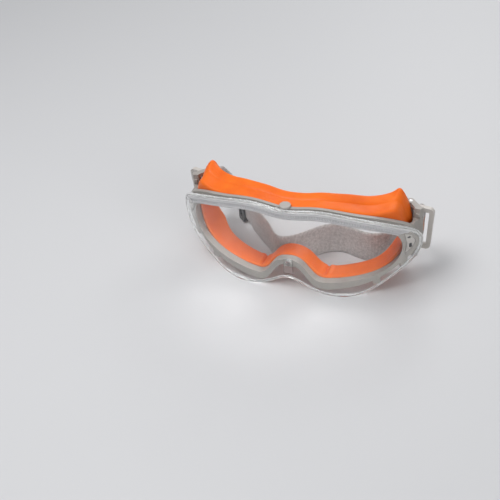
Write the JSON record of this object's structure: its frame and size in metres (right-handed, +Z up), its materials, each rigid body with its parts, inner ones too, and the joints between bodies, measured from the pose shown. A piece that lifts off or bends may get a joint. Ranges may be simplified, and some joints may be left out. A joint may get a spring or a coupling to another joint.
{
  "type": "safety goggles",
  "caption": "Indirect-vent safety goggles: wrap-round clear lens, rigid frame, soft face seal, swivelling strap yokes and an elastic strap.",
  "frame": {"origin": "centre of the whole assembly's box in X and Y, on the surface it rests on", "axes": "+X is the viewer's right, the lens faces -Y, +Z is up"},
  "size_m": [0.1757, 0.081, 0.0715],
  "materials": {
    "clear_lens": "clear polycarbonate",
    "clear_rail": "clear polycarbonate, ribbed",
    "clear_peg": "clear plastic",
    "grey_plastic": "satin moulded",
    "grey_plate": "satin moulded",
    "yoke_plastic": "satin moulded",
    "orange_soft": "soft satin elastomer",
    "pin_steel": "plain",
    "strap_elastic": "knitted elastic webbing",
    "slider_black": "satin moulded"
  },
  "bodies": {
    "goggle_frame": {"frame": "grey_plastic", "temple_plate_right": "grey_plate", "temple_plate_left": "grey_plate", "face_seal": "orange_soft", "nose_peg": "clear_peg", "brow_stud": "grey_plastic", "arm_right": "grey_plastic", "arm_left": "grey_plastic", "hinge_pin_right": "pin_steel", "hinge_pin_left": "pin_steel", "strap_back": "strap_elastic", "strap_run": "strap_elastic", "strap_lead_right": "strap_elastic", "strap_lead_left": "strap_elastic"},
    "lens_body": {"lens": "clear_lens", "lens_rail": "clear_rail"},
    "yoke_right_body": {"yoke_right": "yoke_plastic", "strap_end_right": "strap_elastic"},
    "yoke_left_body": {"yoke_left": "yoke_plastic", "strap_end_left": "strap_elastic"},
    "slider_body": {"slider": "slider_black"}
  },
  "joints": [
    {"name": "yoke_right_swing", "type": "hinge", "parent": "goggle_frame", "child": "yoke_right_body", "pos_m": [0.0705, 0.00885, 0.0365], "axis": [0.0872, 0, 0.9962], "range_deg": [0, 80], "deforming": ["strap_lead_right"]},
    {"name": "yoke_left_swing", "type": "hinge", "parent": "goggle_frame", "child": "yoke_left_body", "pos_m": [-0.0705, 0.00885, 0.0365], "axis": [-0.0872, 0, 0.9962], "range_deg": [-60, 20], "deforming": ["strap_lead_left"]},
    {"name": "lens_release", "type": "slide", "parent": "goggle_frame", "child": "lens_body", "axis": [0, -1, 0], "range_m": [0, 0.012]},
    {"name": "slider_slide", "type": "slide", "parent": "goggle_frame", "child": "slider_body", "axis": [-0.7232, 0.6906, 0], "range_m": [-0.0045, 0.0045]}
  ]
}
